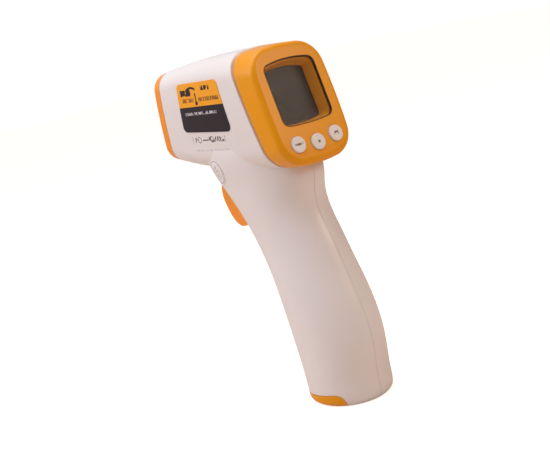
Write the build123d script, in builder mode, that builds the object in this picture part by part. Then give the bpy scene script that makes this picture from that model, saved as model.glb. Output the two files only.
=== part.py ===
from build123d import *
import math
import os

os.makedirs("parts", exist_ok=True)

# Axes: -Y is the sensor end, +Y the display end, +X the user's left, Z = 0 the flat base.

# Overall sizes
wall = 2.0
display_y = 14.0
display_z = 106.5
display_tilt = 14.0
front_y = -72.8
head_mid_z = display_z + 16.4
front_tilt = 2.8
ring_length = 6.0
cap_joint_y = -3.1
cap_joint_tilt = 17.0
head_width = 37.4
front_width = 31.0
head_height = 49.0
front_height = 39.4
front_rise = 0.8
grip_width = 34.6
grip_depth = 40.6
head_corner = 8.6
cap_corner = 11.2
lip_clearance = 0.1
lip_thickness = 1.2
lip_length = 2.5

# Display face, measured along the tilted face from the middle button
face_bottom = -8.2
face_top = face_bottom + head_height
window_half_width = 12.8
window_top = 34.9
window_bottom = 8.0
tunnel_depth = 6.4
face_wall = 2.2
button_spacing = 9.7
button_rise = 1.1
button_radius = 3.3
button_proud = 0.8
button_travel = 0.5
switch_height = 3.9
button_clearance = 0.12

# Boards behind the display, as depths below the face
glass_depth = tunnel_depth + 0.1
glass_thickness = 2.6
backlight_depth = glass_depth + glass_thickness + 0.1
backlight_thickness = 2.0
board_depth = backlight_depth + backlight_thickness + 0.7
board_thickness = 1.6

# Cells and door
cell_radius = 5.2
cell_length = 44.5
cell_spacing = 11.0
cell_y = -2.0
cell_bottom = 9.0
holder_floor = 10.7
holder_wall = 1.1
cell_clearance = 0.2
door_pivot_y = 9.7
door_pivot_z = 1.9
door_lug_inner = 2.5
door_lug_outer = 5.5
door_pin_half = 9.0
door_swing_radius = 3.5
door_knuckle_radius = 1.9
door_gap = 0.15
pin_clearance = 0.05
door_pin_radius = 1.0

# Trigger
trigger_half = 4.5
trigger_pivot_y = -44.0
trigger_pivot_z = display_z - 14.0
trigger_pin_radius = 1.0
slot_clearance = 0.3

# Screws
screw_radius = 1.25
screw_head_radius = 2.5
screw_head_seat = 10.5
boss_radius = 3.6
boss_points = (
    (front_y + 20.0, head_mid_z + 12.8),
    (-24.0, head_mid_z + 13.8),
    (front_y + 18.0, head_mid_z - 14.2),
    (-17.0, 61.0),
    (12.0, 36.0),
)

# Sensor
barrel_radius = 7.5
can_radius = 4.6
cone_front_radius = 10.5

# Height, centre, half depth and half width of the grip, the last two as shares of its size
grip_rows = (
    (0.0, 1.5, 0.438, 0.488),
    (7.5, 1.9, 0.453, 0.500),
    (23.5, 1.3, 0.500, 0.503),
    (47.0, -3.3, 0.500, 0.488),
    (57.0, -6.7, 0.500, 0.465),
    (67.0, -10.6, 0.515, 0.451),
    (77.0, -15.1, 0.525, 0.460),
    (87.0, -19.0, 0.606, 0.480),
    (95.0, -21.4, 0.719, 0.500),
    (109.0, -24.0, 0.813, 0.515),
)


def tilted(y, z, tilt):
    angle = math.radians(tilt)
    return Plane(origin=(0, y, z), x_dir=(-1, 0, 0), z_dir=(0, math.cos(angle), math.sin(angle)))


display_plane = tilted(display_y, display_z, display_tilt)
cap_joint = tilted(cap_joint_y, head_mid_z, cap_joint_tilt)
front_plane = tilted(front_y, head_mid_z + front_rise, -front_tilt)
ring_joint = tilted(front_y + ring_length, head_mid_z + front_rise, -front_tilt)


def shield(plane, half_width, top, bottom, crown, bulge, corner, inset):
    """Four shallow arcs with rounded corners."""
    side = half_width - bulge - inset
    high = top - inset
    low = bottom + inset
    with BuildSketch(plane) as outline:
        with BuildLine():
            ThreePointArc((-side, low + crown), (0, low), (side, low + crown))
            ThreePointArc(
                (side, low + crown), (half_width - inset, (high + low) / 2), (side, high - crown)
            )
            ThreePointArc((side, high - crown), (0, high), (-side, high - crown))
            ThreePointArc(
                (-side, high - crown), (inset - half_width, (high + low) / 2), (-side, low + crown)
            )
        make_face()
        fillet(outline.vertices(), radius=corner - inset)
    return outline.sketch


def head(inset):
    half = head_width / 2
    front_half = front_width / 2
    rise = front_height / 2
    mid_plane = tilted(-40.0, head_mid_z - 0.3, 5.0)
    mid_half = head_width * 0.463
    mid_rise = head_height * 0.482
    with BuildPart() as solid:
        loft(
            [
                shield(front_plane, front_half, rise, -rise, 1.4, 0.6, head_corner - 1, inset),
                shield(mid_plane, mid_half, mid_rise, -mid_rise, 1.8, 0.9, head_corner, inset),
                shield(display_plane, half, face_top, face_bottom, 2.2, 1.1, cap_corner, inset),
            ]
        )
    return solid.part


def grip(inset):
    rings = []
    for height, centre, depth_share, width_share in grip_rows:
        with BuildSketch(Plane.XY.offset(height)) as ring:
            with Locations((0, centre)):
                Ellipse(grip_width * width_share - inset, grip_depth * depth_share - inset)
        rings.append(ring.sketch)
    with BuildPart() as solid:
        loft(rings)
    return solid.part


def slab(plane, near, far):
    """Everything between two depths below a plane."""
    with BuildPart() as solid:
        with BuildSketch(plane.offset(-far)):
            Rectangle(140, 400)
        extrude(amount=far - near)
    return solid.part


def side_prism(points, half):
    """A profile in Y and Z, drawn out equally to both sides."""
    with BuildPart() as solid:
        with BuildSketch(Plane.YZ):
            Polygon(*points, align=None)
        extrude(amount=half, both=True)
    return solid.part


def cross_bar(y, z, radius, start, end):
    """A round bar along X."""
    with BuildPart() as solid:
        with BuildSketch(Plane.YZ.offset(start)):
            with Locations((y, z)):
                Circle(radius)
        extrude(amount=end - start)
    return solid.part


head_outer = head(0)
head_inner = head(wall)
head_lip_outer = head(wall + lip_clearance)
head_lip_inner = head(wall + lip_thickness)

with BuildPart() as grip_body:
    add(grip(0))
    fillet(grip_body.faces().sort_by(Axis.Z)[0].edges(), radius=2.6)

with BuildPart() as grip_hollow:
    add(grip(wall))
    add(slab(Plane.XY.offset(wall), 0, 20), mode=Mode.SUBTRACT)


def door_zone(gap):
    """The space of the battery door, seen from the side: a wedge that ends in an arc about the pin."""
    top = door_pivot_z + door_swing_radius + gap
    with BuildPart() as solid:
        add(side_prism(((-30, 2.4 + gap), (door_pivot_y, top), (door_pivot_y, -2), (-30, -2)), 40))
        add(cross_bar(door_pivot_y, door_pivot_z, door_swing_radius + gap, -40, 40))
    return solid.part


# Shell lugs that hold the door's pin
def door_lugs():
    with BuildPart() as solid:
        for side in (-1, 1):
            start = min(side * door_lug_inner, side * door_lug_outer)
            end = max(side * door_lug_inner, side * door_lug_outer)
            add(cross_bar(door_pivot_y, door_pivot_z, door_knuckle_radius, start, end))
            with Locations(((start + end) / 2, door_pivot_y + 4.0, door_pivot_z)):
                Box(end - start, 8.0, 2 * door_knuckle_radius)
    return solid.part


trigger_slot_half = trigger_half + slot_clearance

with BuildPart() as head_middle:
    add(head_outer)
    add(slab(cap_joint, -80, 0), mode=Mode.SUBTRACT)
    add(slab(ring_joint, 0, 60), mode=Mode.SUBTRACT)

with BuildPart() as shell_skin:
    add(grip_body.part)
    add(head_outer, mode=Mode.SUBTRACT)
    add(head_middle.part)

with BuildPart() as shell_room:
    add(head_inner)
    add(grip_hollow.part)

nose = -front_y
spring_y = trigger_pivot_y + 6.8

# Ribs that locate the holder, the sensor barrel and the trigger spring
with BuildPart() as ribs:
    with Locations((0, cell_y, 9.7), (0, cell_y, 19.0), (0, cell_y, 47.0)):
        Box(60, 80, 1.6)
    with Locations((0, cell_y, 30)):
        Box(25.0, 14.0, 60, mode=Mode.SUBTRACT)
    with Locations((0, front_y + 20.0, head_mid_z)):
        Box(60, 1.6, 60)
    with BuildSketch(Plane.XZ.offset(nose - 22.0)):
        with Locations((0, head_mid_z)):
            Circle(barrel_radius + 0.1)
    extrude(amount=4, mode=Mode.SUBTRACT)
    with Locations((0, front_y + 20.0, display_z - 12.0)):
        Box(60, 4, 20, mode=Mode.SUBTRACT)
    with Locations((0, spring_y, trigger_pivot_z + 10.5)):
        Box(60, 7, 2)
    add(shell_room.part, mode=Mode.INTERSECT)

with BuildPart() as shell_whole:
    add(shell_skin.part)
    add(shell_room.part, mode=Mode.SUBTRACT)
    add(ribs.part)

with BuildPart() as bosses:
    for boss_y, boss_z in boss_points:
        add(cross_bar(boss_y, boss_z, boss_radius, -25, 25))
    for side in (-1, 1):
        inner = min(side * 5.3, side * 22)
        outer = max(side * 5.3, side * 22)
        add(cross_bar(trigger_pivot_y, trigger_pivot_z, 3.2, inner, outer))
    add(door_lugs())
    add(shell_skin.part, mode=Mode.INTERSECT)

with BuildPart() as shell_cuts:
    add(door_zone(door_gap))
    add(door_lugs(), mode=Mode.SUBTRACT)
    add(cross_bar(door_pivot_y, door_pivot_z, door_pin_radius + 0.03, -9.2, 9.2))
    add(cross_bar(trigger_pivot_y, trigger_pivot_z, trigger_pin_radius + 0.03, -9.2, 9.2))
    with Locations((0, trigger_pivot_y - 4.0, trigger_pivot_z - 10.3)):
        Box(2 * trigger_slot_half, 33, 22)

with BuildPart() as shell_left:
    add(shell_whole.part)
    add(bosses.part)
    add(shell_cuts.part, mode=Mode.SUBTRACT)
    split(bisect_by=Plane.YZ, keep=Keep.TOP)
    for boss_y, boss_z in boss_points:
        add(cross_bar(boss_y, boss_z, screw_radius + 0.03, -1, 8.6), mode=Mode.SUBTRACT)
shell_left.part.label = "shell_left"
export_step(shell_left.part, "parts/shell_left.step")

with BuildPart() as shell_right:
    add(shell_whole.part)
    add(bosses.part)
    add(shell_cuts.part, mode=Mode.SUBTRACT)
    split(bisect_by=Plane.YZ, keep=Keep.BOTTOM)
    for boss_y, boss_z in boss_points:
        add(cross_bar(boss_y, boss_z, screw_radius + 0.2, -15, 1), mode=Mode.SUBTRACT)
        add(
            cross_bar(boss_y, boss_z, screw_head_radius + 0.3, -25, -screw_head_seat),
            mode=Mode.SUBTRACT,
        )
shell_right.part.label = "shell_right"
export_step(shell_right.part, "parts/shell_right.step")

# Pan-head screws, put in from the right
with BuildPart() as shell_screws:
    for boss_y, boss_z in boss_points:
        add(cross_bar(boss_y, boss_z, screw_radius, -screw_head_seat, 8.0))
        add(cross_bar(boss_y, boss_z, screw_head_radius, -screw_head_seat - 1.8, -screw_head_seat))
    heads = shell_screws.faces().filter_by(Axis.X).group_by(Axis.X)[0]
    fillet(heads.edges(), radius=0.6)
    for boss_y, boss_z in boss_points:
        with Locations((-screw_head_seat - 1.8, boss_y, boss_z)):
            Box(1.6, 0.7, 3.0, mode=Mode.SUBTRACT)
            Box(1.6, 3.0, 0.7, mode=Mode.SUBTRACT)
shell_screws.part.label = "shell_screws"
export_step(shell_screws.part, "parts/shell_screws.step")

with BuildPart() as ring_lip:
    add(head_lip_outer)
    add(head_lip_inner, mode=Mode.SUBTRACT)
    add(slab(ring_joint, -lip_length, 1), mode=Mode.INTERSECT)

# Front ring with the opening for the nose cone
with BuildPart() as front_ring:
    add(head_outer)
    add(slab(ring_joint, -120, 0), mode=Mode.SUBTRACT)
    fillet(front_ring.faces().sort_by(Axis.Y)[0].edges(), radius=1.6)
    add(ring_lip.part)
    with BuildSketch(Plane.XZ.offset(nose - 20)):
        with Locations((0, head_mid_z)):
            Circle(13.0)
    extrude(amount=30, mode=Mode.SUBTRACT)
front_ring.part.label = "front_ring"
export_step(front_ring.part, "parts/front_ring.step")

# Black cone in front of the sensor, turned about the sensor's axis
with BuildPart() as nose_cone:
    with BuildSketch(Plane.YZ):
        with BuildLine():
            Polyline(
                (front_y + 1.0, head_mid_z + cone_front_radius),
                (front_y + 1.0, head_mid_z + 12.9),
                (front_y + 4.0, head_mid_z + 12.9),
                (front_y + 4.0, head_mid_z + 11.0),
                (front_y + 8.0, head_mid_z + 8.9),
                (front_y + 18.0, head_mid_z + 8.9),
                (front_y + 18.0, head_mid_z + barrel_radius + 0.1),
                (front_y + 10.0, head_mid_z + barrel_radius + 0.1),
                (front_y + 10.0, head_mid_z + 4.0),
                (front_y + 8.8, head_mid_z + 4.0),
                close=True,
            )
        make_face()
    revolve(axis=Axis((0, 0, head_mid_z), (0, 1, 0)))
nose_cone.part.label = "nose_cone"
export_step(nose_cone.part, "parts/nose_cone.step")

with BuildPart() as sensor_barrel:
    with BuildSketch(Plane.XZ.offset(nose - 24.0)):
        with Locations((0, head_mid_z)):
            Circle(barrel_radius)
    extrude(amount=13.9)
    with BuildSketch(Plane.XZ.offset(nose - 25.0)):
        with Locations((0, head_mid_z)):
            Circle(can_radius + 0.1)
    extrude(amount=11.6, mode=Mode.SUBTRACT)
    with BuildSketch(Plane.XZ.offset(nose - 18.0)):
        with Locations((0, head_mid_z)):
            Circle(3.4)
    extrude(amount=20, mode=Mode.SUBTRACT)
sensor_barrel.part.label = "sensor_barrel"
export_step(sensor_barrel.part, "parts/sensor_barrel.step")

with BuildPart() as sensor_can:
    with BuildSketch(Plane.XZ.offset(nose - 19.0)):
        with Locations((0, head_mid_z)):
            Circle(can_radius)
    extrude(amount=0.6)
    with BuildSketch(Plane.XZ.offset(nose - 18.4)):
        with Locations((0, head_mid_z)):
            Circle(4.1)
    extrude(amount=4.2)
    with BuildSketch(Plane.XZ.offset(nose - 14.8)):
        with Locations((0, head_mid_z)):
            Circle(2.4)
    extrude(amount=2, mode=Mode.SUBTRACT)
    with BuildSketch(Plane.XZ.offset(nose - 22.6)):
        with Locations((0, head_mid_z)):
            with PolarLocations(2.5, 4):
                Circle(0.25)
    extrude(amount=3.6)
sensor_can.part.label = "sensor_can"
export_step(sensor_can.part, "parts/sensor_can.step")

with BuildPart() as sensor_window:
    with BuildSketch(Plane.XZ.offset(nose - 14.8)):
        with Locations((0, head_mid_z)):
            Circle(2.35)
    extrude(amount=0.5)
sensor_window.part.label = "sensor_window"
export_step(sensor_window.part, "parts/sensor_window.step")

with BuildPart() as sensor_board:
    with BuildSketch(Plane.XZ.offset(nose - 25.4)):
        with Locations((0, head_mid_z)):
            Circle(7.2)
            with PolarLocations(2.5, 4):
                Circle(0.35, mode=Mode.SUBTRACT)
    extrude(amount=1.2)
sensor_board.part.label = "sensor_board"
export_step(sensor_board.part, "parts/sensor_board.step")


def window_outline(plane, grow):
    with BuildSketch(plane) as outline:
        with BuildLine():
            side = window_half_width + grow
            high = window_top + grow
            low = window_bottom - grow
            ThreePointArc((-side, low + 0.9), (0, low), (side, low + 0.9))
            Line((side, low + 0.9), (side, high - 1.6))
            ThreePointArc((side, high - 1.6), (0, high), (-side, high - 1.6))
            Line((-side, high - 1.6), (-side, low + 0.9))
        make_face()
        fillet(outline.vertices(), radius=3.2 + grow)
    return outline.sketch


button_points = ((-button_spacing, button_rise), (0, 0), (button_spacing, button_rise))
post_points = ((0, 36.0), (-12.0, 6.3), (12.0, 6.3))

with BuildPart() as cap_room:
    add(head_inner)
    add(slab(display_plane, -10, face_wall), mode=Mode.SUBTRACT)

with BuildPart() as lip_root:
    add(head(wall - 0.5))
    add(slab(cap_joint, -2.5, -0.3), mode=Mode.INTERSECT)

with BuildPart() as cap_lip:
    add(head_lip_outer)
    add(slab(cap_joint, -2, lip_length), mode=Mode.INTERSECT)
    add(lip_root.part)
    add(head_lip_inner, mode=Mode.SUBTRACT)
    add(slab(Plane.XY.offset(display_z - 1.5), 0, 30), mode=Mode.SUBTRACT)

# Rear cap: band, face, display tunnel, button holes, posts and the lip that enters the shells
with BuildPart() as rear_cap:
    add(head_outer)
    add(slab(cap_joint, 0, 140), mode=Mode.SUBTRACT)
    fillet(rear_cap.faces().sort_by(Axis.Y)[-1].edges(), radius=2.4)
    add(cap_room.part, mode=Mode.SUBTRACT)
    add(cap_lip.part)
    loft(
        [
            window_outline(display_plane.offset(-face_wall + 0.4), 1.4),
            window_outline(display_plane.offset(-tunnel_depth), 0.6),
        ]
    )
    loft(
        [
            window_outline(display_plane.offset(-0.6), -0.7),
            window_outline(display_plane.offset(-tunnel_depth - 0.01), -1.8),
        ],
        mode=Mode.SUBTRACT,
    )
    extrude(
        window_outline(display_plane.offset(-1.25), 0),
        4,
        dir=display_plane.z_dir,
        mode=Mode.SUBTRACT,
    )
    with BuildSketch(display_plane.offset(-board_depth)):
        with Locations(*post_points):
            Circle(1.6)
    extrude(amount=board_depth - face_wall)
    with BuildSketch(display_plane.offset(-board_depth - 1)):
        with Locations(*post_points):
            Circle(0.73)
    extrude(amount=9, mode=Mode.SUBTRACT)
    with BuildSketch(display_plane.offset(-5)):
        with Locations(*button_points):
            Circle(button_radius + button_clearance)
    extrude(amount=10, mode=Mode.SUBTRACT)
rear_cap.part.label = "rear_cap"
export_step(rear_cap.part, "parts/rear_cap.step")

with BuildPart() as window_lens:
    extrude(window_outline(display_plane.offset(-1.2), -0.06), 1.2, dir=display_plane.z_dir)
window_lens.part.label = "window_lens"
export_step(window_lens.part, "parts/window_lens.step")

stem_depth = board_depth - switch_height - button_travel - 0.1


def button(point):
    with BuildPart() as solid:
        with BuildSketch(display_plane.offset(-face_wall - 0.1)):
            with Locations(point):
                Circle(button_radius)
        extrude(amount=face_wall + 0.1 + button_proud)
        fillet(solid.faces().sort_by(Axis.Y)[-1].edges(), radius=0.5)
        with BuildSketch(display_plane.offset(-face_wall - 0.9)):
            with Locations(point):
                Circle(button_radius + 0.5)
        extrude(amount=0.8)
        with BuildSketch(display_plane.offset(-stem_depth)):
            with Locations(point):
                Circle(1.5)
        extrude(amount=stem_depth - 2)
    return solid.part


with BuildPart() as button_left:
    add(button(button_points[0]))
button_left.part.label = "button_left"
export_step(button_left.part, "parts/button_left.step")

with BuildPart() as button_middle:
    add(button(button_points[1]))
button_middle.part.label = "button_middle"
export_step(button_middle.part, "parts/button_middle.step")

with BuildPart() as button_right:
    add(button(button_points[2]))
button_right.part.label = "button_right"
export_step(button_right.part, "parts/button_right.step")

# Display stack
glass_middle = (window_top + window_bottom) / 2

with BuildPart() as lcd_glass:
    with BuildSketch(display_plane.offset(-glass_depth - glass_thickness)):
        with Locations((0, glass_middle - 0.3)):
            RectangleRounded(24.8, 24.6, 0.4)
    extrude(amount=glass_thickness)
lcd_glass.part.label = "lcd_glass"
export_step(lcd_glass.part, "parts/lcd_glass.step")

with BuildPart() as backlight:
    with BuildSketch(display_plane.offset(-backlight_depth - backlight_thickness)):
        with Locations((0, glass_middle - 0.3)):
            RectangleRounded(24.8, 20.6, 0.8)
    extrude(amount=backlight_thickness)
backlight.part.label = "backlight"
export_step(backlight.part, "parts/backlight.step")

with BuildPart() as zebra_strips:
    with BuildSketch(display_plane.offset(-board_depth + 0.02)):
        with Locations((0, glass_middle + 10.9), (0, glass_middle - 11.5)):
            Rectangle(23.0, 1.4)
    extrude(amount=board_depth - glass_depth - glass_thickness - 0.04)
zebra_strips.part.label = "zebra_strips"
export_step(zebra_strips.part, "parts/zebra_strips.step")

with BuildPart() as lcd_frame:
    with BuildSketch(display_plane.offset(-board_depth + 0.05)):
        with Locations((0, glass_middle - 0.3)):
            RectangleRounded(27.4, 25.9, 1.4)
            RectangleRounded(25.0, 24.8, 0.6, mode=Mode.SUBTRACT)
    extrude(amount=board_depth - glass_depth - 0.1)
lcd_frame.part.label = "lcd_frame"
export_step(lcd_frame.part, "parts/lcd_frame.step")

with BuildPart() as main_board:
    with BuildSketch(display_plane.offset(-board_depth - board_thickness)) as board_outline:
        with Locations((0, 17.6)):
            RectangleRounded(28.0, 39.4, 6.0)
        with Locations(*post_points):
            Circle(0.95, mode=Mode.SUBTRACT)
    extrude(amount=board_thickness)
main_board.part.label = "main_board"
export_step(main_board.part, "parts/main_board.step")

board_back = board_depth + board_thickness

with BuildPart() as board_screws:
    with BuildSketch(display_plane.offset(-board_back)):
        with Locations(*post_points):
            Circle(0.7)
    extrude(amount=board_thickness + 5)
    with BuildSketch(display_plane.offset(-board_back - 1.1)):
        with Locations(*post_points):
            Circle(1.5)
    extrude(amount=1.1)
board_screws.part.label = "board_screws"
export_step(board_screws.part, "parts/board_screws.step")

with BuildPart() as tact_switches:
    with BuildSketch(display_plane.offset(-board_depth + 0.01)):
        with Locations(*button_points):
            Rectangle(4.0, 4.0)
    extrude(amount=switch_height - 0.9)
    with BuildSketch(display_plane.offset(-board_depth + switch_height - 0.9)):
        with Locations(*button_points):
            Circle(1.2)
    extrude(amount=0.9)
tact_switches.part.label = "tact_switches"
export_step(tact_switches.part, "parts/tact_switches.step")

with BuildPart() as board_chips:
    with BuildSketch(display_plane.offset(-board_back - 1.5)):
        with Locations((0, 16.0)):
            Rectangle(9.0, 9.0)
        with Locations((-9.0, 25.0), (-9.0, 15.0)):
            Rectangle(4.0, 5.0)
        with Locations((9.6, 27.0)):
            Rectangle(3.0, 7.0)
    extrude(amount=1.49)
board_chips.part.label = "board_chips"
export_step(board_chips.part, "parts/board_chips.step")

with BuildPart() as buzzer:
    with BuildSketch(display_plane.offset(-board_back - 4.2)):
        with Locations((0, 28.0)):
            Circle(5.6)
    extrude(amount=4.19)
    with BuildSketch(display_plane.offset(-board_back - 4.2)):
        with Locations((0, 28.0)):
            Circle(1.1)
    extrude(amount=1.5, mode=Mode.SUBTRACT)
buzzer.part.label = "buzzer"
export_step(buzzer.part, "parts/buzzer.step")

# Trigger, a curved fin that swings on a pin at its top
def trigger_side():
    """Side profile, measured from the pin."""
    with BuildSketch() as profile:
        with BuildLine():
            Spline((-8.6, -0.9), (-9.8, -7.0), (-7.9, -13.2), (-5.0, -18.0), (-1.6, -20.5))
            Polyline(
                (-1.6, -20.5),
                (2.5, -20.4),
                (10.6, -18.9),
                (9.2, -9.0),
                (9.2, -4.2),
                (10.2, -2.9),
                (10.2, 0.7),
                (3.5, 0.7),
                (1.6, 2.6),
                (-1.0, 2.6),
                (-2.8, -0.6),
                (-6.4, -0.6),
                (-8.6, -0.9),
            )
        make_face()
    return profile.sketch


with BuildPart() as trigger:
    with BuildSketch(Plane.YZ):
        with Locations((trigger_pivot_y, trigger_pivot_z)):
            add(trigger_side())
    extrude(amount=trigger_half, both=True)
    trigger_rim = trigger.edges().filter_by(GeomType.BSPLINE)
    fillet(trigger_rim, radius=1.2)
    with Locations((0, trigger_pivot_y + 9.2, trigger_pivot_z - 6.4)):
        Box(12.6, 1.8, 4.4)
    add(
        cross_bar(trigger_pivot_y, trigger_pivot_z, trigger_pin_radius + pin_clearance, -5, 5),
        mode=Mode.SUBTRACT,
    )
trigger.part.label = "trigger"
export_step(trigger.part, "parts/trigger.step")

with BuildPart() as trigger_pin:
    add(cross_bar(trigger_pivot_y, trigger_pivot_z, trigger_pin_radius, -9.0, 9.0))
trigger_pin.part.label = "trigger_pin"
export_step(trigger_pin.part, "parts/trigger_pin.step")

spring_wire = 0.3
with BuildPart() as trigger_spring:
    with BuildLine():
        coil = Helix(pitch=1.6, height=8.0, radius=1.9, center=(0, spring_y, trigger_pivot_z + 1.1))
    with BuildSketch(Plane(origin=coil @ 0, z_dir=coil % 0)):
        Circle(spring_wire)
    sweep()
trigger_spring.part.label = "trigger_spring"
export_step(trigger_spring.part, "parts/trigger_spring.step")

with BuildPart() as switch_board:
    with Locations((0, trigger_pivot_y + 17.6, trigger_pivot_z - 10.5)):
        Box(20.0, 1.2, 16.0)
switch_board.part.label = "switch_board"
export_step(switch_board.part, "parts/switch_board.step")

with BuildPart() as trigger_switch:
    with Locations((0, trigger_pivot_y + 14.9, trigger_pivot_z - 11.5)):
        Box(6.0, 4.18, 6.0)
    with BuildSketch(Plane.XZ.offset(-trigger_pivot_y - 13.0)):
        with Locations((0, trigger_pivot_z - 11.5)):
            Circle(1.2)
    extrude(amount=1.2)
trigger_switch.part.label = "trigger_switch"
export_step(trigger_switch.part, "parts/trigger_switch.step")

# Battery holder, cells and contacts
bore_radius = cell_radius + cell_clearance
holder_half_x = cell_spacing / 2 + bore_radius + holder_wall
holder_half_y = bore_radius + holder_wall
holder_top = cell_bottom + cell_length + 3.6
cell_points = ((-cell_spacing / 2, cell_y), (cell_spacing / 2, cell_y))

with BuildPart() as battery_holder:
    with BuildSketch(Plane.XY.offset(holder_floor)):
        with Locations((0, cell_y)):
            RectangleRounded(2 * holder_half_x, 2 * holder_half_y, 3.0)
    extrude(amount=holder_top - holder_floor)
    with BuildSketch(Plane.XY.offset(holder_floor)):
        with Locations(*cell_points):
            Circle(bore_radius)
    extrude(amount=cell_bottom + cell_length + 0.7 - holder_floor, mode=Mode.SUBTRACT)
    with BuildSketch(Plane.XY.offset(holder_top - 5)):
        with Locations(*cell_points):
            Rectangle(3.4, 1.0)
    extrude(amount=10, mode=Mode.SUBTRACT)
battery_holder.part.label = "battery_holder"
export_step(battery_holder.part, "parts/battery_holder.step")


def cell(point):
    with BuildPart() as solid:
        with BuildSketch(Plane.XY.offset(cell_bottom)):
            with Locations(point):
                Circle(cell_radius)
        extrude(amount=cell_length - 1.2)
        fillet(solid.edges().filter_by(GeomType.CIRCLE), radius=0.5)
        with BuildSketch(Plane.XY.offset(cell_bottom + cell_length - 1.3)):
            with Locations(point):
                Circle(1.9)
        extrude(amount=1.3)
    return solid.part


with BuildPart() as cell_left:
    add(cell(cell_points[1]))
cell_left.part.label = "cell_left"
export_step(cell_left.part, "parts/cell_left.step")

# The right cell stands the other way up
cell_middle = cell_bottom + cell_length / 2
with BuildPart() as cell_right:
    add(mirror(cell(cell_points[0]), about=Plane.XY.offset(cell_middle)))
cell_right.part.label = "cell_right"
export_step(cell_right.part, "parts/cell_right.step")

with BuildPart() as holder_contacts:
    with BuildSketch(Plane.XY.offset(cell_bottom + cell_length + 0.05)):
        with Locations(*cell_points):
            Circle(4.8)
    extrude(amount=0.5)
    with BuildSketch(Plane.XY.offset(cell_bottom + cell_length + 0.3)):
        with Locations(*cell_points):
            Rectangle(3.0, 0.5)
    extrude(amount=6.0)
holder_contacts.part.label = "holder_contacts"
export_step(holder_contacts.part, "parts/holder_contacts.step")

# Battery door: the front of the base, hinged at its rear edge
with BuildPart() as battery_door:
    add(grip_body.part)
    add(grip_hollow.part, mode=Mode.SUBTRACT)
    add(door_zone(0), mode=Mode.INTERSECT)
    add(
        cross_bar(
            door_pivot_y, door_pivot_z, door_knuckle_radius, -door_pin_half - 1, door_pin_half + 1
        )
    )
    with Locations((-4.0, door_pivot_y + 1.0, 0), (4.0, door_pivot_y + 1.0, 0)):
        Box(3.6, 8.0, 9.0, mode=Mode.SUBTRACT)
    with Locations((0, -13.3, 5.2)):
        Box(8.0, 1.2, 5.0)
    with Locations((0, -14.0, 2.2)):
        Box(8.0, 2.6, 1.6)
    add(
        cross_bar(door_pivot_y, door_pivot_z, door_pin_radius + pin_clearance, -9.1, 9.1),
        mode=Mode.SUBTRACT,
    )
battery_door.part.label = "battery_door"
export_step(battery_door.part, "parts/battery_door.step")

with BuildPart() as door_pin:
    add(cross_bar(door_pivot_y, door_pivot_z, door_pin_radius, -door_pin_half, door_pin_half))
door_pin.part.label = "door_pin"
export_step(door_pin.part, "parts/door_pin.step")

with BuildPart() as door_plate:
    with BuildSketch(Plane.XY.offset(wall)):
        with Locations((0, cell_y)):
            RectangleRounded(21.0, 9.0, 1.0)
    extrude(amount=0.5)
door_plate.part.label = "door_plate"
export_step(door_plate.part, "parts/door_plate.step")

with BuildPart() as door_springs:
    with BuildLine():
        door_coil = Helix(
            pitch=1.5, height=5.6, radius=3.2, cone_angle=-12, center=(cell_points[1][0], cell_y, 2.9)
        )
    with BuildSketch(Plane(origin=door_coil @ 0, z_dir=door_coil % 0)):
        Circle(0.35)
    sweep()
    mirror(about=Plane.YZ)
door_springs.part.label = "door_springs"
export_step(door_springs.part, "parts/door_springs.step")


# Wires
def wire(points, radius):
    with BuildPart() as solid:
        with BuildLine():
            run = Spline(*points)
        with BuildSketch(Plane(origin=run @ 0, z_dir=run % 0)):
            Circle(radius)
        sweep()
    return solid.part


tab_top = cell_bottom + cell_length + 6.4

board_z = display_z - 0.9
wire_end_y = display_y - board_back - 1.3
red_points = ((5.5, -2, tab_top), (5.6, -4, 68), (5.0, -9, 86), (4, -8, 100), (4, wire_end_y, board_z))
black_points = [(-x, y, z) for x, y, z in red_points]
sensor_points = (
    (0, front_y + 25.8, head_mid_z),
    (2, front_y + 31.0, head_mid_z - 1.5),
    (5, -25, head_mid_z - 4),
    (6, -16, head_mid_z - 2),
    (5.6, wire_end_y - 4.6, head_mid_z + 0.6),
)
switch_points = (
    (0, -25.6, 85),
    (0, -22, 87),
    (0, -14, 94),
    (0, -8, 101),
    (0, wire_end_y - 0.8, display_z + 0.5),
)

with BuildPart() as wire_red:
    add(wire(red_points, 0.6))
wire_red.part.label = "wire_red"
export_step(wire_red.part, "parts/wire_red.step")

with BuildPart() as wire_black:
    add(wire(black_points, 0.6))
wire_black.part.label = "wire_black"
export_step(wire_black.part, "parts/wire_black.step")

with BuildPart() as sensor_cable:
    add(wire(sensor_points, 0.9))
sensor_cable.part.label = "sensor_cable"
export_step(sensor_cable.part, "parts/sensor_cable.step")

with BuildPart() as switch_cable:
    add(wire(switch_points, 0.7))
switch_cable.part.label = "switch_cable"
export_step(switch_cable.part, "parts/switch_cable.step")

# Stickers, thin skins that follow the shell
sticker_thickness = 0.2
label_corners = (
    (-50.6, display_z + 31.4),
    (-19.3, display_z + 31.4),
    (-15.2, display_z + 9.9),
    (-52.2, display_z + 10.9),
)

with BuildPart() as label_cut:
    with BuildSketch(Plane.YZ.offset(5)) as label_outline:
        Polygon(*label_corners, align=None)
        fillet(label_outline.vertices(), radius=2.4)
    extrude(amount=25)

with BuildPart() as side_label:
    add(head(-sticker_thickness))
    add(label_cut.part, mode=Mode.INTERSECT)
    add(head_outer, mode=Mode.SUBTRACT)
side_label.part.label = "side_label"
export_step(side_label.part, "parts/side_label.step")

seal_y = -34.8

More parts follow.
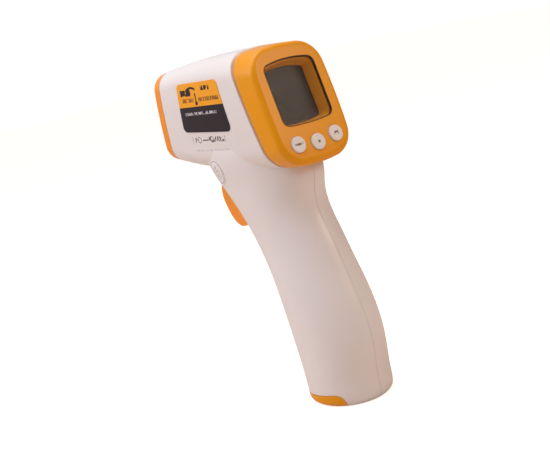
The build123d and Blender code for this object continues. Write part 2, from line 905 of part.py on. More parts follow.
with BuildPart() as round_sticker:
    add(grip(-sticker_thickness))
    add(cross_bar(seal_y, display_z - 7.2, 5.5, 4, 25), mode=Mode.INTERSECT)
    add(grip(0), mode=Mode.SUBTRACT)
    add(head_outer, mode=Mode.SUBTRACT)
round_sticker.part.label = "round_sticker"
export_step(round_sticker.part, "parts/round_sticker.step")
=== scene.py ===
import math

import bpy
from mathutils import Matrix, Vector


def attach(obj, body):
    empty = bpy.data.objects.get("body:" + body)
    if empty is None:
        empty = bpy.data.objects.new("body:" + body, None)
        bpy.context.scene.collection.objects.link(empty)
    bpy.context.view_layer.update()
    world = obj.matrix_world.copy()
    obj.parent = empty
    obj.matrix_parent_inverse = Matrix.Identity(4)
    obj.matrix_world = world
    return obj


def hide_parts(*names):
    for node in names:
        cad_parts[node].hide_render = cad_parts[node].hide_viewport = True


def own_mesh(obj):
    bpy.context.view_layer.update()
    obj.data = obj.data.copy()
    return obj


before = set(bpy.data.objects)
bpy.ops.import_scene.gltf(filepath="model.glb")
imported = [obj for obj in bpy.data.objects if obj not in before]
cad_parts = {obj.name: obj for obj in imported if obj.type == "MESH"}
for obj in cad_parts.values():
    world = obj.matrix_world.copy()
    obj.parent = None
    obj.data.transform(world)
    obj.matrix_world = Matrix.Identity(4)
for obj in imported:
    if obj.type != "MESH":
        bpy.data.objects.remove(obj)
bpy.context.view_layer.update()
mm = 0.001

# the display face: its middle button, the way it looks and the way up it
faceTilt = math.radians(14)
buttonSpot = Vector((0, 14, 106.5)) * mm
faceOut = Vector((0, math.cos(faceTilt), math.sin(faceTilt)))
faceUp = Vector((0, -math.sin(faceTilt), math.cos(faceTilt)))
faceRight = Vector((-1, 0, 0))

mergeGap = 0.000001  # points of a copied CAD mesh that lie this close are one point
glowDepthMm = 2
noiseRange = (0.2, 0.8)  # nearly all of a noise node's values lie between these


def linear(hexValue):
    # the sRGB curve, with full opacity added
    parts = [int(hexValue[i:i + 2], 16) / 255 for i in (1, 3, 5)]
    return (*[p / 12.92 if p <= 0.04045 else ((p + 0.055) / 1.055) ** 2.4 for p in parts], 1.0)


def addNode(tree, kind, settings=None, inputs=None):
    # settings are the node's own choices; inputs take a number, a colour or another node's output
    made = tree.nodes.new("ShaderNode" + kind)
    for name, value in (settings or {}).items():
        setattr(made, name, value)
    for name, value in (inputs or {}).items():
        if isinstance(value, bpy.types.NodeSocket):
            tree.links.new(value, made.inputs[name])
        else:
            made.inputs[name].default_value = value
    return made


def startMaterial(look):
    material = bpy.data.materials.new(look["name"])
    material.use_nodes = True
    tree = material.node_tree
    tree.nodes.clear()
    place = addNode(tree, "TexCoord").outputs["Object"]
    shader = addNode(tree, "BsdfPrincipled", {}, {
        "Metallic": look.get("metallic", 0.0), "IOR": look.get("ior", 1.5),
        "Specular IOR Level": look.get("gloss", 0.5),
        "Coat Weight": look.get("coat", 0.0), "Coat Roughness": look.get("coatRough", 0.1),
        "Subsurface Weight": look.get("glow", 0.0), "Subsurface Scale": glowDepthMm * mm,
        "Alpha": look.get("alpha", 1.0)})
    output = addNode(tree, "OutputMaterial")
    tree.links.new(shader.outputs["BSDF"], output.inputs["Surface"])
    return material, tree, place, shader


def surfaceDetail(tree, place, shader, look):
    # slow colour drift, uneven sheen and a fine moulded or worked grain, with softened corners
    drift = addNode(tree, "TexNoise", {}, {
        "Vector": place, "Scale": 1 / (look["driftMm"] * mm), "Detail": 2.0, "Roughness": 0.5})
    colour = addNode(tree, "MixRGB", {"blend_type": "MIX"}, {
        "Fac": drift.outputs["Fac"],
        "Color1": linear(look["colour"]), "Color2": linear(look["second"])})
    stretch = addNode(tree, "Mapping", {}, {
        "Vector": place, "Scale": look.get("stretch", (1, 1, 1))})
    sheen = addNode(tree, "TexNoise", {}, {
        "Vector": stretch.outputs["Vector"], "Scale": 1 / (look["sheenMm"] * mm), "Detail": 0.0})
    rough = addNode(tree, "MapRange", {}, {
        "Value": sheen.outputs["Fac"], "From Min": noiseRange[0], "From Max": noiseRange[1],
        "To Min": look["rough"] - look["roughSpread"],
        "To Max": look["rough"] + look["roughSpread"]})
    grain = addNode(tree, "TexNoise", {}, {
        "Vector": stretch.outputs["Vector"], "Scale": 1 / (look["grainMm"] * mm), "Detail": 2.0})
    corner = addNode(tree, "Bevel", {"samples": 4}, {"Radius": look.get("cornerMm", 0.2) * mm})
    bump = addNode(tree, "Bump", {}, {
        "Strength": look.get("bump", 0.1), "Distance": look["grainHeightMm"] * mm,
        "Height": grain.outputs["Fac"], "Normal": corner.outputs["Normal"]})
    tree.links.new(rough.outputs["Result"], shader.inputs["Roughness"])
    tree.links.new(bump.outputs["Normal"], shader.inputs["Normal"])
    tree.links.new(colour.outputs["Color"], shader.inputs["Base Color"])
    return colour.outputs["Color"]


def plainFinish(look):
    material, tree, place, shader = startMaterial(look)
    surfaceDetail(tree, place, shader, look)
    return material


def dress(material, *names):
    for name in names:
        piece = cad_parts[name]
        if not piece.material_slots:
            piece.data.materials.append(material)
        for slot in piece.material_slots:
            slot.material = material


def flatPlace(tree, place, across, up):
    # two distances over a flat print, made of the object's own coordinates
    u = addNode(tree, "VectorMath", {"operation": "DOT_PRODUCT"}, {0: place, 1: across})
    v = addNode(tree, "VectorMath", {"operation": "DOT_PRODUCT"}, {0: place, 1: up})
    joined = addNode(tree, "CombineXYZ", {}, {"X": u.outputs["Value"], "Y": v.outputs["Value"]})
    return joined.outputs["Vector"]


def metres(pair):
    return (*[p * mm for p in pair], 0)


def insideBox(tree, flat, middle, half):
    away = addNode(tree, "VectorMath", {"operation": "SUBTRACT"}, {0: flat, 1: metres(middle)})
    size = addNode(tree, "VectorMath", {"operation": "ABSOLUTE"}, {0: away.outputs["Vector"]})
    over = addNode(tree, "VectorMath", {"operation": "SUBTRACT"}, {
        0: size.outputs["Vector"], 1: (*metres(half)[:2], 1)})
    split = addNode(tree, "SeparateXYZ", {}, {"Vector": over.outputs["Vector"]})
    worst = addNode(tree, "Math", {"operation": "MAXIMUM"}, {
        0: split.outputs["X"], 1: split.outputs["Y"]})
    inside = addNode(tree, "Math", {"operation": "LESS_THAN"}, {0: worst.outputs["Value"], 1: 0.0})
    return inside.outputs["Value"]


def onRing(tree, flat, middle, radius, width):
    away = addNode(tree, "VectorMath", {"operation": "DISTANCE"}, {0: flat, 1: metres(middle)})
    return addNode(tree, "Math", {"operation": "COMPARE"}, {
        0: away.outputs["Value"], 1: radius * mm, 2: width / 2 * mm}).outputs["Value"]


strokeHeight = 1 / 0.45  # a stroke is about this many times as tall as it is wide


def strokes(tree, flat, pitch, share):
    # short upright strokes of uneven width, standing for fine print that says nothing
    squeezed = addNode(tree, "Mapping", {}, {
        "Vector": flat, "Scale": (1 / (pitch * mm), 1 / (strokeHeight * pitch * mm), 1)})
    cloud = addNode(tree, "TexNoise", {"noise_dimensions": "2D"}, {
        "Vector": squeezed.outputs["Vector"], "Scale": 1.0, "Detail": 0.0})
    return addNode(tree, "Math", {"operation": "GREATER_THAN"}, {
        0: cloud.outputs["Fac"], 1: 1 - share}).outputs["Value"]


def together(tree, kind, *masks):
    total = masks[0]
    for mask in masks[1:]:
        total = addNode(tree, "Math", {"operation": kind}, {0: total, 1: mask}).outputs["Value"]
    return total


def finePrint(tree, flat, middle, half, pitch, share):
    # a patch of strokes: its middle, half its size, the strokes' spacing and the share of ink
    return together(tree, "MULTIPLY", insideBox(tree, flat, middle, half),
                    strokes(tree, flat, pitch, share))


def inked(tree, under, mask, ink):
    return addNode(tree, "MixRGB", {"blend_type": "MIX"}, {
        "Fac": mask, "Color1": under, "Color2": linear(ink)}).outputs["Color"]


print("frame loaded:", len(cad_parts), "nodes")

# white ABS, injection moulded in a polished tool: a slightly warm white with a soft, even gloss
shellLook = {"name": "whiteMouldedAbs", "colour": "#F1EBE8", "second": "#EBE4E0", "driftMm": 38,
             "rough": 0.36, "roughSpread": 0.02, "sheenMm": 24, "grainMm": 0.8,
             "grainHeightMm": 0.01, "bump": 0.02, "gloss": 0.4, "coat": 0.12, "coatRough": 0.16,
             "cornerMm": 0.5, "ior": 1.53, "seamWidth": 0.10, "seamShare": 0.16,
             "seamColour": "#8A7C76"}
# pad print under the label: the row between two end bars, and the fine line below it
printMarks = {"ink": "#6E6468", "row": (-34.3, 113.7), "rowHalf": (12.7, 1.45), "endWidth": 0.22,
              "code": ((-28.3, 113.7), (6, 1.1), 0.75, 0.52),
              "first": ((-43.9, 113.7), (1.6, 1.0), 0.8, 0.5),
              "bar": ((-36.6, 113.5), (2.4, 0.28)),
              "rings": (-41.5, -31.8), "ringRadius": 1.25, "ringWidth": 0.32,
              "line": ((-33.3, 109.1), (13.5, 0.42), 0.5, 0.42), "lineStrength": 0.45,
              "onSideFrom": 8}


def shellPrint(tree, place, across):
    flat = flatPlace(tree, place, (0, 1, 0), (0, 0, 1))
    row, half = printMarks["row"], printMarks["rowHalf"]
    outer = insideBox(tree, flat, row, half)
    hollow = insideBox(tree, flat, row, (half[0] - printMarks["endWidth"], half[1] + 1))
    ends = together(tree, "SUBTRACT", outer, hollow)
    code = finePrint(tree, flat, *printMarks["code"])
    first = finePrint(tree, flat, *printMarks["first"])
    bar = insideBox(tree, flat, *printMarks["bar"])
    rings = [onRing(tree, flat, (spot, row[1]), printMarks["ringRadius"], printMarks["ringWidth"])
             for spot in printMarks["rings"]]
    line = finePrint(tree, flat, *printMarks["line"])
    faint = addNode(tree, "Math", {"operation": "MULTIPLY"}, {
        0: line, 1: printMarks["lineStrength"]})
    marks = together(tree, "MAXIMUM", code, first, ends, *rings, bar, faint.outputs["Value"])
    side = addNode(tree, "Math", {"operation": "GREATER_THAN"}, {
        0: across, 1: printMarks["onSideFrom"] * mm})
    return together(tree, "MULTIPLY", marks, side.outputs["Value"])


def shellFinish(name, printed):
    material, tree, place, shader = startMaterial({**shellLook, "name": name})
    colour = surfaceDetail(tree, place, shader, shellLook)
    across = addNode(tree, "SeparateXYZ", {}, {"Vector": place}).outputs["X"]
    fromSeam = addNode(tree, "Math", {"operation": "ABSOLUTE"}, {0: across})
    seam = addNode(tree, "Math", {"operation": "LESS_THAN"}, {
        0: fromSeam.outputs["Value"], 1: shellLook["seamWidth"] / 2 * mm})
    softSeam = addNode(tree, "Math", {"operation": "MULTIPLY"}, {
        0: seam.outputs["Value"], 1: shellLook["seamShare"]})
    colour = inked(tree, colour, softSeam.outputs["Value"], shellLook["seamColour"])
    if printed:
        colour = inked(tree, colour, shellPrint(tree, place, across), printMarks["ink"])
    tree.links.new(colour, shader.inputs["Base Color"])
    return material


dress(shellFinish("whiteMouldedAbsPrinted", True), "shell_left")
dress(shellFinish("whiteMouldedAbs", False), "shell_right")

# orange ABS, coloured through and moulded in a polished tool: an even colour with a wax-like gloss
capLook = {"name": "amberMouldedAbs", "colour": "#F5A300", "second": "#F09C00", "driftMm": 30,
           "rough": 0.30, "roughSpread": 0.02, "sheenMm": 18, "grainMm": 0.7,
           "grainHeightMm": 0.01, "bump": 0.05, "gloss": 0.22, "coat": 0.12, "coatRough": 0.12,
           "cornerMm": 0.5, "ior": 1.53}
dress(plainFinish(capLook), "rear_cap", "battery_door")

# the same plastic, painted redder and paler to stand for the strong light on the front ring:
# painted light, which the trigger shares
litCapLook = {**capLook, "name": "amberAbsPaintedLight", "colour": "#FF9E34", "second": "#FA962C"}
dress(plainFinish(litCapLook), "front_ring", "trigger")

# push buttons in off-white ABS, pad printed in grey: a satin face that lets a little light in
buttonLook = {"name": "buttonAbsPadPrinted", "colour": "#F2EDE8", "second": "#ECE5DF",
              "driftMm": 6, "rough": 0.42, "roughSpread": 0.05, "sheenMm": 2, "grainMm": 0.3,
              "grainHeightMm": 0.012, "bump": 0.2, "glow": 0.05, "cornerMm": 0.3, "ior": 1.53}
# half size, spacing and ink share of each side button's strokes; the middle one has a square dot
buttonMarks = {"ink": "#6A5F5C", "pitch": 9.7, "rise": 1.1, "word": ((1.9, 0.42), 0.55, 0.62),
               "short": ((1.1, 0.7), 0.5, 0.55), "dotShift": 0.1, "dotHalf": 0.5}


def buttonFinish():
    material, tree, place, shader = startMaterial(buttonLook)
    colour = surfaceDetail(tree, place, shader, buttonLook)
    flat = flatPlace(tree, place, tuple(faceRight), tuple(faceUp))
    level, aside = buttonSpot.dot(faceUp) / mm, buttonMarks["pitch"]
    high = level + buttonMarks["rise"]
    shift, half = buttonMarks["dotShift"], buttonMarks["dotHalf"]
    word = finePrint(tree, flat, (-aside, high), *buttonMarks["word"])
    dot = insideBox(tree, flat, (shift, level - shift), (half, half))
    short = finePrint(tree, flat, (aside, high), *buttonMarks["short"])
    marks = together(tree, "MAXIMUM", word, dot, short)
    colour = inked(tree, colour, marks, buttonMarks["ink"])
    tree.links.new(colour, shader.inputs["Base Color"])
    return material


dress(buttonFinish(), "button_left", "button_middle", "button_right")
print("mouldings dressed")

# vinyl label, screen printed in two flat colours under a clear film: bright, with a thin sheen
labelLook = {"name": "printedVinylLabel", "gloss": 0.25, "colour": "#FFAE22", "second": "#FBA81C",
             "driftMm": 14, "rough": 0.3, "roughSpread": 0.02, "sheenMm": 9, "grainMm": 0.4,
             "grainHeightMm": 0.005, "bump": 0.05, "coat": 0.1, "coatRough": 0.15,
             "cornerMm": 0.08, "ior": 1.5}
# each mark's middle and half size, then its strokes' spacing and ink share
# (the swoosh and the bulb are rings: middle, radius and width)
labelMarks = {"dark": "#2B2429", "darkest": "#2A211C", "brown": "#9A6420", "pale": "#CFC6CB",
              "lower": ((-34, 107.9), (40, 20)),
              "swoosh": ((-39.5, 128.2), 7.6, 0.9), "swooshPart": ((-40.2, 136), (4.2, 1.6)),
              "block": ((-44.2, 133.8), (4.2, 1.35), 1.5, 0.62),
              "code": ((-28.2, 135.2), (3.2, 0.95), 0.9, 0.56),
              "stem": ((-36.6, 131.3), (0.42, 2.2)), "bulb": ((-36.6, 129.3), 0.3, 1.3),
              "firstWord": ((-43.2, 130.7), (4.6, 0.85), 0.8, 0.6),
              "secondWord": ((-26.9, 130.7), (7.8, 0.85), 0.8, 0.6),
              "note": ((-35.4, 125.0), (12.6, 0.6), 0.7, 0.55)}


def labelFinish():
    material, tree, place, shader = startMaterial(labelLook)
    colour = surfaceDetail(tree, place, shader, labelLook)
    flat = flatPlace(tree, place, (0, 1, 0), (0, 0, 1))
    lower = insideBox(tree, flat, *labelMarks["lower"])
    colour = inked(tree, colour, lower, labelMarks["dark"])
    swoosh = together(tree, "MULTIPLY", onRing(tree, flat, *labelMarks["swoosh"]),
                      insideBox(tree, flat, *labelMarks["swooshPart"]))
    block = finePrint(tree, flat, *labelMarks["block"])
    code = finePrint(tree, flat, *labelMarks["code"])
    stem = insideBox(tree, flat, *labelMarks["stem"])
    bulb = onRing(tree, flat, *labelMarks["bulb"])
    marks = together(tree, "MAXIMUM", swoosh, block, code, stem, bulb)
    colour = inked(tree, colour, marks, labelMarks["darkest"])
    words = together(tree, "MAXIMUM", finePrint(tree, flat, *labelMarks["firstWord"]),
                     finePrint(tree, flat, *labelMarks["secondWord"]))
    colour = inked(tree, colour, words, labelMarks["brown"])
    note = finePrint(tree, flat, *labelMarks["note"])
    colour = inked(tree, colour, note, labelMarks["pale"])
    tree.links.new(colour, shader.inputs["Base Color"])
    return material


dress(labelFinish(), "side_label")

# round seal of coated paper, printed with a ring and loose rows of grey dots: chalky and matte
sealLook = {"name": "printedPaperSeal", "colour": "#F4F1EF", "second": "#EEEAE7", "driftMm": 5,
            "rough": 0.5, "roughSpread": 0.06, "sheenMm": 1.5, "grainMm": 0.2,
            "grainHeightMm": 0.01, "bump": 0.2, "cornerMm": 0.08, "ior": 1.5}
sealMarks = {"ink": "#8C8588", "middle": (-34.8, 99.3), "rim": 5.0, "rimWidth": 0.28,
             "dotPitch": 1.3, "dotSize": 0.27, "dotTurn": math.radians(38), "looseness": 0.35,
             "dotArea": 6.6}


def sealFinish():
    material, tree, place, shader = startMaterial(sealLook)
    colour = surfaceDetail(tree, place, shader, sealLook)
    flat = flatPlace(tree, place, (0, 1, 0), (0, 0, 1))
    rim = onRing(tree, flat, sealMarks["middle"], sealMarks["rim"], sealMarks["rimWidth"])
    closeness = 1 / (sealMarks["dotPitch"] * mm)
    turned = addNode(tree, "Mapping", {}, {
        "Vector": flat, "Rotation": (0, 0, sealMarks["dotTurn"]),
        "Scale": (closeness, closeness, 1)})
    dots = addNode(tree, "TexVoronoi", {"voronoi_dimensions": "2D"}, {
        "Vector": turned.outputs["Vector"], "Scale": 1.0, "Randomness": sealMarks["looseness"]})
    small = addNode(tree, "Math", {"operation": "LESS_THAN"}, {
        0: dots.outputs["Distance"], 1: sealMarks["dotSize"]})
    disc = onRing(tree, flat, sealMarks["middle"], 0.0, sealMarks["dotArea"])
    marks = together(tree, "MAXIMUM", rim, together(tree, "MULTIPLY", small.outputs["Value"], disc))
    colour = inked(tree, colour, marks, sealMarks["ink"])
    tree.links.new(colour, shader.inputs["Base Color"])
    return material


dress(sealFinish(), "round_sticker")
print("label and seal printed")

# clear acrylic window, polished: almost nothing but its gloss shows
windowLook = {"name": "polishedAcrylic", "colour": "#5A5048", "second": "#544B43", "driftMm": 20,
              "rough": 0.06, "roughSpread": 0.02, "sheenMm": 8, "grainMm": 2.0,
              "grainHeightMm": 0.002, "bump": 0.05, "alpha": 0.05, "cornerMm": 0.05, "ior": 1.49}
dress(plainFinish(windowLook), "window_lens")

# display glass behind a polariser, switched off: an even brown-grey with hardly any reflection
glassLook = {"name": "polarisedDisplayGlass", "colour": "#37322B", "second": "#332E28",
             "driftMm": 12, "rough": 0.28, "roughSpread": 0.01, "sheenMm": 12, "grainMm": 0.5,
             "grainHeightMm": 0.002, "bump": 0.02, "gloss": 0.2, "cornerMm": 0.05, "ior": 1.52}
dress(plainFinish(glassLook), "lcd_glass")

# glass-fibre laminate under green solder mask: a lacquered green that pools unevenly
boardLook = {"name": "solderMaskedLaminate", "colour": "#1C6B38", "second": "#175C30",
             "driftMm": 4, "rough": 0.38, "roughSpread": 0.08, "sheenMm": 1.2, "grainMm": 0.6,
             "grainHeightMm": 0.03, "bump": 0.35, "coat": 0.3, "coatRough": 0.2, "cornerMm": 0.1,
             "ior": 1.55}
dress(plainFinish(boardLook), "main_board", "sensor_board", "switch_board")

# moulded epoxy: black, dull and faintly sandy
chipLook = {"name": "mouldedEpoxy", "colour": "#26262A", "second": "#1E1E22", "driftMm": 3,
            "rough": 0.55, "roughSpread": 0.08, "sheenMm": 0.6, "grainMm": 0.12,
            "grainHeightMm": 0.012, "bump": 0.4, "cornerMm": 0.12, "ior": 1.5}
dress(plainFinish(chipLook), "board_chips", "tact_switches", "buzzer", "trigger_switch")

# black ABS from a spark-eroded tool: matte, with a coarser texture
coneLook = {**chipLook, "name": "matteBlackAbs", "colour": "#232122", "second": "#1B191A",
            "driftMm": 10, "rough": 0.48, "grainMm": 0.3, "grainHeightMm": 0.03, "cornerMm": 0.3}
dress(plainFinish(coneLook), "nose_cone", "battery_holder")

# light grey ABS frame, and the opal acrylic behind it, which glows a little where light enters
frameLook = {**buttonLook, "name": "greyMouldedAbs", "colour": "#BDBBB5", "second": "#B2B0AA"}
dress(plainFinish(frameLook), "lcd_frame")
diffuserLook = {**buttonLook, "name": "opalAcrylic", "colour": "#E8EBE2", "second": "#E0E4DA",
                "glow": 0.3}
dress(plainFinish(diffuserLook), "backlight")

# silicone rubber in dark and pale layers: mottled, with a sheen that runs along the strip
rubberLook = {"name": "layeredSilicone", "colour": "#A3948C", "second": "#5E5450", "driftMm": 0.5,
              "stretch": (1, 0.2, 4), "rough": 0.6, "roughSpread": 0.06, "sheenMm": 1.0,
              "grainMm": 0.15, "grainHeightMm": 0.01, "bump": 0.3, "cornerMm": 0.1, "ior": 1.41}
dress(plainFinish(rubberLook), "zebra_strips")

# extruded PVC insulation: smooth and slightly waxy
wireLook = {"name": "redPvc", "colour": "#B02420", "second": "#9E1E1B", "driftMm": 3,
            "rough": 0.4, "roughSpread": 0.06, "sheenMm": 1.0, "grainMm": 0.3,
            "grainHeightMm": 0.01, "bump": 0.2, "cornerMm": 0.05, "ior": 1.53}
dress(plainFinish(wireLook), "wire_red")
dress(plainFinish({**wireLook, "name": "blackPvc", "colour": "#262425", "second": "#1D1B1C"}),
      "wire_black")
dress(plainFinish({**wireLook, "name": "greyPvc", "colour": "#8A8A8E", "second": "#7C7C80"}),
      "sensor_cable", "switch_cable")

# printed foil jacket round each cell: blue, with metal showing through the ink
cellLook = {"name": "printedFoilJacket", "colour": "#2E4A78", "second": "#27416C", "driftMm": 10,
            "metallic": 0.6, "rough": 0.3, "roughSpread": 0.05, "sheenMm": 2.5, "grainMm": 0.3,
            "grainHeightMm": 0.008, "bump": 0.15, "coat": 0.4, "cornerMm": 0.15}
dress(plainFinish(cellLook), "cell_left", "cell_right")

# metals: zinc plate is grey and a little cloudy, nickel spring wire is brighter, brass is turned
zincLook = {"name": "zincPlatedSteel", "colour": "#B9BBC0", "second": "#A9ACB3", "driftMm": 2,
            "metallic": 1.0, "rough": 0.36, "roughSpread": 0.08, "sheenMm": 0.8, "grainMm": 0.15,
            "grainHeightMm": 0.01, "bump": 0.25, "cornerMm": 0.15}
dress(plainFinish(zincLook), "shell_screws", "board_screws", "trigger_pin", "door_pin")
nickelLook = {**zincLook, "name": "nickelSpringWire", "colour": "#C9C6BE", "second": "#BDBAB2",
              "rough": 0.24, "roughSpread": 0.05, "stretch": (1, 1, 0.2)}
dress(plainFinish(nickelLook), "trigger_spring", "holder_contacts", "door_plate",
      "door_springs", "sensor_can")
brassLook = {**zincLook, "name": "turnedBrass", "colour": "#D9B36A", "second": "#CFA75C",
             "rough": 0.26, "roughSpread": 0.05, "stretch": (0.15, 3, 0.15), "grainMm": 0.4}
dress(plainFinish(brassLook), "sensor_barrel")
# silicon window with an optical coating: a dark violet mirror
siliconLook = {**glassLook, "name": "coatedSiliconFilter", "colour": "#4A4660",
               "second": "#3C3A55", "metallic": 0.5, "rough": 0.08, "roughSpread": 0.03}
dress(plainFinish(siliconLook), "sensor_window")
print("inner parts dressed")

# faint shapes of the unlit display characters, as thin films on the display glass
segments = {"digits": 3, "pitch": 5.6, "tall": 4.6, "wide": 3.2, "bar": 0.7, "middleUp": 19.0,
            "depth": 6.48, "film": 0.02, "gap": 0.12, "tip": 0.08}
ghostLook = {**glassLook, "name": "unlitDisplayFilm", "colour": "#302B25", "second": "#2D2822",
             "rough": 0.27}


def clearSelection():
    if bpy.context.object and bpy.context.object.mode != "OBJECT":
        bpy.ops.object.mode_set(mode="OBJECT")
    bpy.ops.object.select_all(action="DESELECT")


def onGlass(right, up, depth):
    return buttonSpot + (faceRight * right + faceUp * up - faceOut * depth) * mm


def barPiece(name, length, width, thick):
    # a flat bar with pointed ends: both end faces are drawn out and pinched
    clearSelection()
    bpy.ops.mesh.primitive_cube_add(size=1)
    bar = bpy.context.object
    bar.name = name
    bar.scale = ((length - width) * mm, width * mm, thick * mm)
    bpy.ops.object.transform_apply(scale=True)
    bpy.ops.object.mode_set(mode="EDIT")
    bpy.ops.mesh.select_mode(type="FACE")
    for side in (1, -1):
        bpy.ops.mesh.select_all(action="DESELECT")
        bpy.ops.object.mode_set(mode="OBJECT")
        for face in bar.data.polygons:
            face.select = face.normal.x * side > 0.9
        bpy.ops.object.mode_set(mode="EDIT")
        reach = (side * width / 2 * mm, 0, 0)
        bpy.ops.mesh.extrude_region_move(TRANSFORM_OT_translate={"value": reach})
        bpy.ops.transform.resize(value=(1, segments["tip"], 1))
    bpy.ops.object.mode_set(mode="OBJECT")
    return bar


def ghostCharacters():
    half, tall = segments["wide"] / 2, segments["tall"] / 2
    upright = [(-half, tall, 90), (half, tall, 90), (-half, -tall, 90), (half, -tall, 90)]
    level = [(0, 2 * tall, 0), (0, 0, 0), (0, -2 * tall, 0)]
    bar, film, ends = segments["bar"], segments["film"], segments["gap"] * 2
    model = barPiece("display_characters", segments["tall"] - ends, bar, film)
    short = barPiece("shortBar", segments["wide"] - ends, bar, film)
    basis = Matrix((faceRight, faceUp, faceOut)).transposed().to_4x4()
    made = []
    for digit in range(segments["digits"]):
        across = (digit - 1) * segments["pitch"]
        for right, up, turn in upright + level:
            copy = (model if turn else short).copy()
            copy.data = copy.data.copy()
            bpy.context.scene.collection.objects.link(copy)
            spot = onGlass(across + right, segments["middleUp"] + up, segments["depth"])
            turned = Matrix.Rotation(math.radians(turn), 4, "Z")
            copy.matrix_world = Matrix.Translation(spot) @ basis @ turned
            made.append(copy)
    bpy.data.objects.remove(short)
    bpy.data.objects.remove(model)
    clearSelection()
    for copy in made:
        copy.select_set(True)
    bpy.context.view_layer.objects.active = made[0]
    bpy.ops.object.join()
    film = bpy.context.object
    film.name = "display_characters"
    bpy.ops.object.transform_apply(location=True, rotation=True, scale=True)
    bpy.ops.object.mode_set(mode="EDIT")
    bpy.ops.mesh.select_all(action="SELECT")
    bpy.ops.mesh.normals_make_consistent(inside=False)
    bpy.ops.object.mode_set(mode="OBJECT")
    film.data.materials.clear()
    film.data.materials.append(plainFinish(ghostLook))
    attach(film, "housing")


ghostCharacters()

# painted shadow: a dark band cut from the window's own sides, standing for the shaded gap where the
# window meets the bezel
windowShadowLook = {**coneLook, "name": "paintedShadowEdge", "colour": "#3A2A1C", "second": "#33251A",
           "wide": 0.28, "proud": 0.02}


def windowShadowLine():
    clearSelection()
    rim = bpy.data.objects.new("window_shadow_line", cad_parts["window_lens"].data.copy())
    bpy.context.scene.collection.objects.link(rim)
    bpy.context.view_layer.objects.active = rim
    rim.select_set(True)
    bpy.ops.object.mode_set(mode="EDIT")
    bpy.ops.mesh.select_mode(type="FACE")
    bpy.ops.mesh.select_all(action="SELECT")
    bpy.ops.mesh.remove_doubles(threshold=mergeGap)
    bpy.ops.mesh.select_all(action="DESELECT")
    bpy.ops.object.mode_set(mode="OBJECT")
    for face in rim.data.polygons:
        face.select = abs(face.normal.dot(faceOut)) > 0.5
    bpy.ops.object.mode_set(mode="EDIT")
    bpy.ops.mesh.delete(type="FACE")
    bpy.ops.mesh.select_all(action="SELECT")
    bpy.ops.transform.translate(value=faceOut * windowShadowLook["proud"] * mm)
    bpy.ops.object.mode_set(mode="OBJECT")
    wall = rim.modifiers.new("wall", "SOLIDIFY")
    wall.thickness = windowShadowLook["wide"] * mm
    wall.offset = -1
    bpy.ops.object.modifier_apply(modifier="wall")
    # the band takes the painted shadow colour
    rim.data.materials.clear()
    rim.data.materials.append(plainFinish(windowShadowLook))
    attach(rim, "housing")


windowShadowLine()

# the trigger's return spring: a copy of the CAD spring, shaded smooth and fixed to the housing
coilShape = {"armReach": 6.8, "pull": math.radians(8), "spare": 1.1,
             "smoothUnder": math.radians(40)}


def returnSpring():
    clearSelection()
    coil = bpy.data.objects.new("return_spring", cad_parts["trigger_spring"].data.copy())
    bpy.context.scene.collection.objects.link(coil)
    bpy.context.view_layer.objects.active = coil
    coil.select_set(True)
    bpy.ops.object.mode_set(mode="EDIT")
    bpy.ops.mesh.select_all(action="SELECT")
    bpy.ops.mesh.remove_doubles(threshold=mergeGap)
    bpy.ops.object.mode_set(mode="OBJECT")
    bpy.ops.object.shade_smooth_by_angle(angle=coilShape["smoothUnder"])
    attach(coil, "housing")
    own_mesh(coil)
    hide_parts("trigger_spring")


returnSpring()
print("display characters, window rim and return spring laid")

# floor, light and camera
stageLook = {"floorSize": 6, "floor": "#DCC9BA", "floorSecond": "#D9C6B7", "sky": "#FBF9FF",
             "warm": "#94705A", "brightWay": (0.50, -0.62, 0.60), "warmUpTo": -0.6,
             "brightFrom": 0.5, "skyLevel": 0.5, "lift": 0.75, "white": "#FFFFFF"}
clearSelection()
bpy.ops.mesh.primitive_plane_add(size=stageLook["floorSize"])
floor = bpy.context.object
floor.name = "floor"
floorPaint = {"name": "paleFloor", "colour": stageLook["floor"],
              "second": stageLook["floorSecond"], "driftMm": 400, "rough": 0.8,
              "roughSpread": 0.05, "sheenMm": 60, "grainMm": 3, "grainHeightMm": 0.02,
              "bump": 0.05}
paint, paintTree, paintPlace, paintShader = startMaterial(floorPaint)
surfaceDetail(paintTree, paintPlace, paintShader, floorPaint)
# the floor and the air are seen brighter than they light, as with an overexposed backdrop
seen = addNode(paintTree, "LightPath").outputs["Is Camera Ray"]
lift = addNode(paintTree, "Math", {"operation": "MULTIPLY"}, {0: seen, 1: stageLook["lift"]})
paintShader.inputs["Emission Color"].default_value = linear(stageLook["white"])
paintTree.links.new(lift.outputs["Value"], paintShader.inputs["Emission Strength"])
floor.data.materials.append(paint)

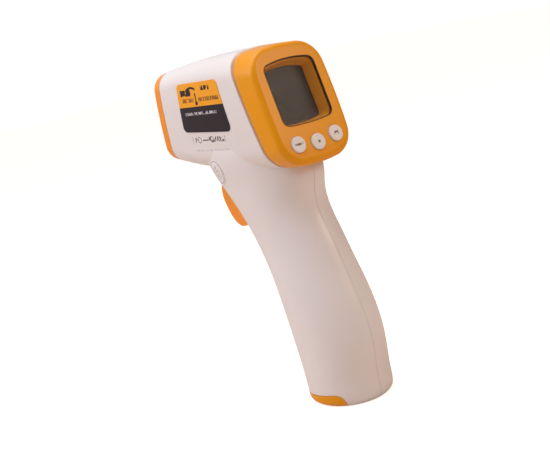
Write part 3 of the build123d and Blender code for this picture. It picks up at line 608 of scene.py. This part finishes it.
world = bpy.data.worlds.new("studio")
bpy.context.scene.world = world
world.use_nodes = True
air = world.node_tree
air.nodes.clear()
way = addNode(air, "TexCoord").outputs["Generated"]
facing = addNode(air, "VectorMath", {"operation": "DOT_PRODUCT"}, {
    0: way, 1: tuple(Vector(stageLook["brightWay"]).normalized())})
share = addNode(air, "MapRange", {"interpolation_type": "SMOOTHSTEP"}, {
    "Value": facing.outputs["Value"],
    "From Min": stageLook["warmUpTo"], "From Max": stageLook["brightFrom"]})
tint = addNode(air, "MixRGB", {}, {
    "Fac": share.outputs["Result"],
    "Color1": linear(stageLook["warm"]), "Color2": linear(stageLook["sky"])})
dim = addNode(air, "Background", {}, {
    "Color": tint.outputs["Color"], "Strength": stageLook["skyLevel"]})
clear = addNode(air, "Background", {}, {"Color": linear(stageLook["white"]), "Strength": 1.0})
either = addNode(air, "MixShader", {}, {
    0: addNode(air, "LightPath").outputs["Is Camera Ray"],
    1: dim.outputs["Background"], 2: clear.outputs["Background"]})
sky = addNode(air, "OutputWorld")
air.links.new(either.outputs["Shader"], sky.inputs["Surface"])

# each lamp's place, size, watts and colour; all point at the middle of the object
lightAim = Vector((0, -0.02, 0.10))
softLights = {"overhead": ((0.10, -0.12, 0.75), 0.55, 2.4, "#FFFDFF"),
              "leftBank": ((0.36, -0.26, 0.40), 0.34, 0.95, "#FBF7FF"),
              "highBack": ((-0.30, 0.52, 0.42), 0.30, 1.35, "#FFEBDA")}
for name, (spot, size, power, tone) in softLights.items():
    lamp = bpy.data.lights.new(name, "AREA")
    lamp.size = size
    lamp.energy = power
    lamp.color = linear(tone)[:3]
    holder = bpy.data.objects.new(name, lamp)
    bpy.context.scene.collection.objects.link(holder)
    holder.location = spot
    holder.rotation_euler = (lightAim - Vector(spot)).to_track_quat("-Z", "Y").to_euler()

lens = {"length": 64.2, "width": 36.0, "nearest": 0.01, "at": (0.24104, 0.30627, 0.15348),
        "turn": (78.439, 12.4666, 141.4996)}
cameraData = bpy.data.cameras.new("camera")
cameraData.lens = lens["length"]
cameraData.sensor_width = lens["width"]
cameraData.clip_start = lens["nearest"]
camera = bpy.data.objects.new("camera", cameraData)
bpy.context.scene.collection.objects.link(camera)
camera.location = lens["at"]
camera.rotation_euler = [math.radians(a) for a in lens["turn"]]
bpy.context.scene.camera = camera
bpy.context.scene.view_settings.view_transform = "Standard"
print("stage set")
